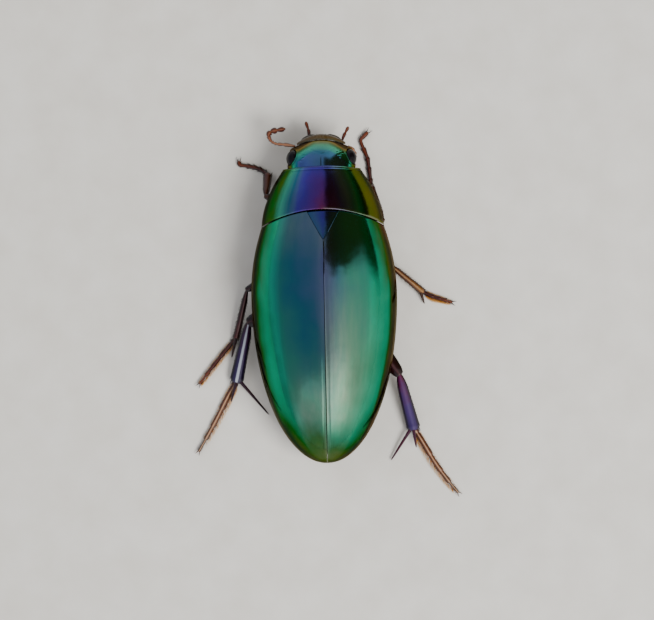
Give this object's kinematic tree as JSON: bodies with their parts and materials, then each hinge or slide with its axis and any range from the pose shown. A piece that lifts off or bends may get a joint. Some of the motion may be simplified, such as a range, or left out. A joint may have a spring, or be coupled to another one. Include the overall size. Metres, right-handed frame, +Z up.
{
  "type": "giant water scavenger beetle",
  "caption": "Life-size still model of a large oval water beetle, resting on its breast keel with the legs spread, as a museum shows it.",
  "frame": {"origin": "on the floor, on the flat of the breast keel that the beetle rests on, on the body's midline halfway between the front of the head and the tips of the wing cases", "axes": "+Y towards the head, +X towards the beetle's right side, +Z up from the floor"},
  "size_m": [0.0292, 0.0415, 0.0108],
  "materials": {
    "green_shell": "glossy iridescent green and teal shell, olive at the rim",
    "blue_shell": "glossy iridescent blue to violet shell",
    "dark_plate": "satin brown-black underside",
    "purple_leg": "glossy dark purple to maroon",
    "brown_foot": "reddish brown, satin",
    "brown_lip": "dark brown, satin",
    "eye": "black, fine facets, glossy"
  },
  "bodies": {
    "root": {"abdomen": "dark_plate", "antenna_left": "brown_foot", "antenna_right": "brown_foot", "eye_left": "eye", "eye_right": "eye", "fore_left_coxa": "dark_plate", "fore_left_femur": "purple_leg", "fore_left_tarsus": "brown_foot", "fore_left_tibia": "purple_leg", "fore_right_coxa": "dark_plate", "fore_right_femur": "purple_leg", "fore_right_tarsus": "brown_foot", "fore_right_tibia": "purple_leg", "head": "green_shell", "hind_left_coxa": "dark_plate", "hind_left_femur": "purple_leg", "hind_left_tarsus": "brown_foot", "hind_left_tibia": "purple_leg", "hind_right_coxa": "dark_plate", "hind_right_femur": "purple_leg", "hind_right_tarsus": "brown_foot", "hind_right_tibia": "purple_leg", "labium": "dark_plate", "labrum": "brown_lip", "mandible_left": "brown_lip", "mandible_right": "brown_lip", "maxillary_palp_left": "brown_foot", "maxillary_palp_right": "brown_foot", "metathorax": "dark_plate", "mid_left_coxa": "dark_plate", "mid_left_femur": "purple_leg", "mid_left_tarsus": "brown_foot", "mid_left_tibia": "purple_leg", "mid_right_coxa": "dark_plate", "mid_right_femur": "purple_leg", "mid_right_tarsus": "brown_foot", "mid_right_tibia": "purple_leg", "pronotum": "blue_shell", "prosternum": "dark_plate", "scutellum": "blue_shell", "sternal_keel": "dark_plate", "wing_case_left": "green_shell", "wing_case_right": "green_shell"}
  },
  "joints": []
}
